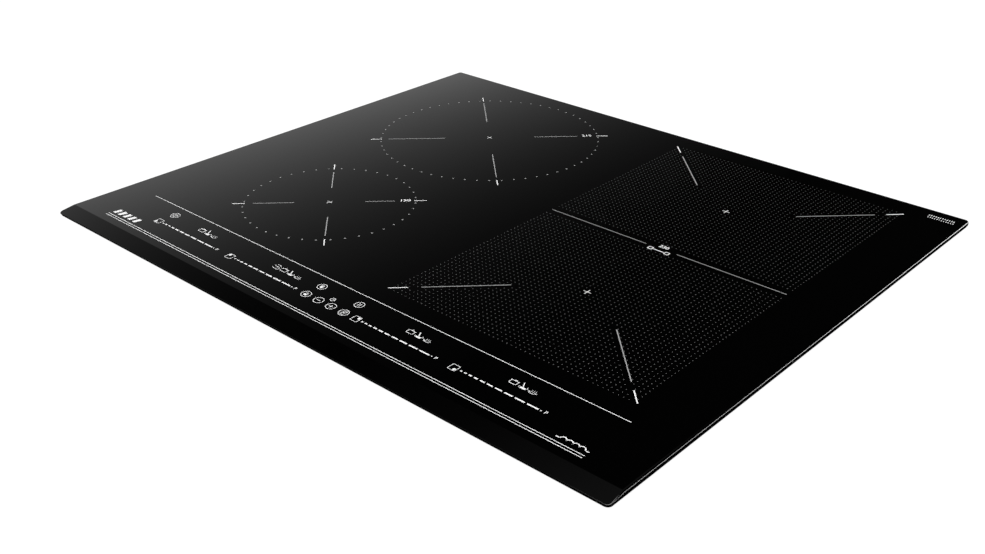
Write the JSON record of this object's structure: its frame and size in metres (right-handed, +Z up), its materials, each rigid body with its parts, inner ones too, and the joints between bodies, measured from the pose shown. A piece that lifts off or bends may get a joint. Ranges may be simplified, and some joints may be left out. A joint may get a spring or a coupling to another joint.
{
  "type": "built-in induction cooktop",
  "caption": "Black glass-ceramic induction cooktop for a worktop cut-out, with round and flexible cooking zones, slider touch controls, a shallow steel casing and swivelling hold-down clamps.",
  "frame": {"origin": "under the middle of the casing, at its underside", "axes": "+X to the right of the person cooking, +Y away from them towards the back, +Z up through the glass"},
  "size_m": [0.6, 0.51, 0.055],
  "materials": {
    "black_glass": "polished black glass-ceramic, printed light grey from above",
    "seal_foam": "dark grey closed-cell foam, matt",
    "zinc_steel": "hot-dip galvanised sheet, fine spangle",
    "bright_screw": "zinc-plated screw",
    "spring_steel": "plated spring steel strip",
    "aluminium": "mill-finish aluminium sheet and extrusion",
    "white_plastic": "heat-resistant moulding, off-white",
    "lacquered_copper": "lacquered stranded copper winding",
    "mica": "pressed mica sheet, flecked",
    "lead_sleeve": "glass-fibre sleeve",
    "black_plastic": "black moulding, light spark texture",
    "circuit_board": "green solder mask",
    "black_rubber": "moulded rubber bush"
  },
  "bodies": {
    "cooktop": {"air_duct_left": "black_plastic", "air_duct_right": "black_plastic", "cable_grommet": "black_rubber", "casing_tray": "zinc_steel", "clamp_screw_left_back": "bright_screw", "clamp_screw_left_front": "bright_screw", "clamp_screw_right_back": "bright_screw", "clamp_screw_right_front": "bright_screw", "coil_carrier_left": "aluminium", "coil_carrier_right": "aluminium", "coil_former_left_back": "white_plastic", "coil_former_left_front": "white_plastic", "coil_former_right_back": "white_plastic", "coil_former_right_front": "white_plastic", "coil_lead_left_back": "lead_sleeve", "coil_lead_left_front": "lead_sleeve", "coil_lead_right_back": "lead_sleeve", "coil_lead_right_front": "lead_sleeve", "coil_winding_left_back": "lacquered_copper", "coil_winding_left_front": "lacquered_copper", "coil_winding_right_back": "lacquered_copper", "coil_winding_right_front": "lacquered_copper", "control_board": "circuit_board", "control_housing": "black_plastic", "electronics_tray": "black_plastic", "fan_housing_left": "black_plastic", "fan_housing_right": "black_plastic", "filter_board": "circuit_board", "frame_rail_back": "aluminium", "frame_rail_front": "aluminium", "frame_rail_left": "aluminium", "frame_rail_right": "aluminium", "frame_screw_left_back": "bright_screw", "frame_screw_left_front": "bright_screw", "frame_screw_right_back": "bright_screw", "frame_screw_right_front": "bright_screw", "glass_plate": "black_glass", "heat_sink_left": "aluminium", "heat_sink_right": "aluminium", "light_guide": "white_plastic", "mica_sheet_left_back": "mica", "mica_sheet_left_front": "mica", "mica_sheet_right_back": "mica", "mica_sheet_right_front": "mica", "power_board_left": "circuit_board", "power_board_right": "circuit_board", "ribbon_cable": "lead_sleeve", "temperature_sensor_left_back": "white_plastic", "temperature_sensor_left_front": "white_plastic", "temperature_sensor_right_back": "white_plastic", "temperature_sensor_right_front": "white_plastic", "terminal_block": "white_plastic", "worktop_seal": "seal_foam"},
    "impeller_left": {"fan_impeller_left": "black_plastic"},
    "impeller_right": {"fan_impeller_right": "black_plastic"},
    "clamp_left_back": {"hold_down_clamp_left_back": "spring_steel"},
    "clamp_left_front": {"hold_down_clamp_left_front": "spring_steel"},
    "clamp_right_back": {"hold_down_clamp_right_back": "spring_steel"},
    "clamp_right_front": {"hold_down_clamp_right_front": "spring_steel"}
  },
  "joints": [
    {"name": "clamp_turn_left_front", "type": "hinge", "parent": "cooktop", "child": "clamp_left_front", "pos_m": [-0.263, -0.15, 0.006], "axis": [0, 0, 1], "range_deg": [0, 90]},
    {"name": "clamp_turn_left_back", "type": "hinge", "parent": "cooktop", "child": "clamp_left_back", "pos_m": [-0.263, 0.15, 0.006], "axis": [0, 0, -1], "range_deg": [0, 90]},
    {"name": "clamp_turn_right_front", "type": "hinge", "parent": "cooktop", "child": "clamp_right_front", "pos_m": [0.263, -0.15, 0.006], "axis": [0, 0, -1], "range_deg": [0, 90]},
    {"name": "clamp_turn_right_back", "type": "hinge", "parent": "cooktop", "child": "clamp_right_back", "pos_m": [0.263, 0.15, 0.006], "axis": [0, 0, 1], "range_deg": [0, 90]},
    {"name": "fan_spin_left", "type": "hinge", "parent": "cooktop", "child": "impeller_left", "pos_m": [-0.175, 0.18, 0.02], "axis": [0, 0, 1], "continuous": true},
    {"name": "fan_spin_right", "type": "hinge", "parent": "cooktop", "child": "impeller_right", "pos_m": [0.175, 0.18, 0.02], "axis": [0, 0, 1], "continuous": true}
  ]
}
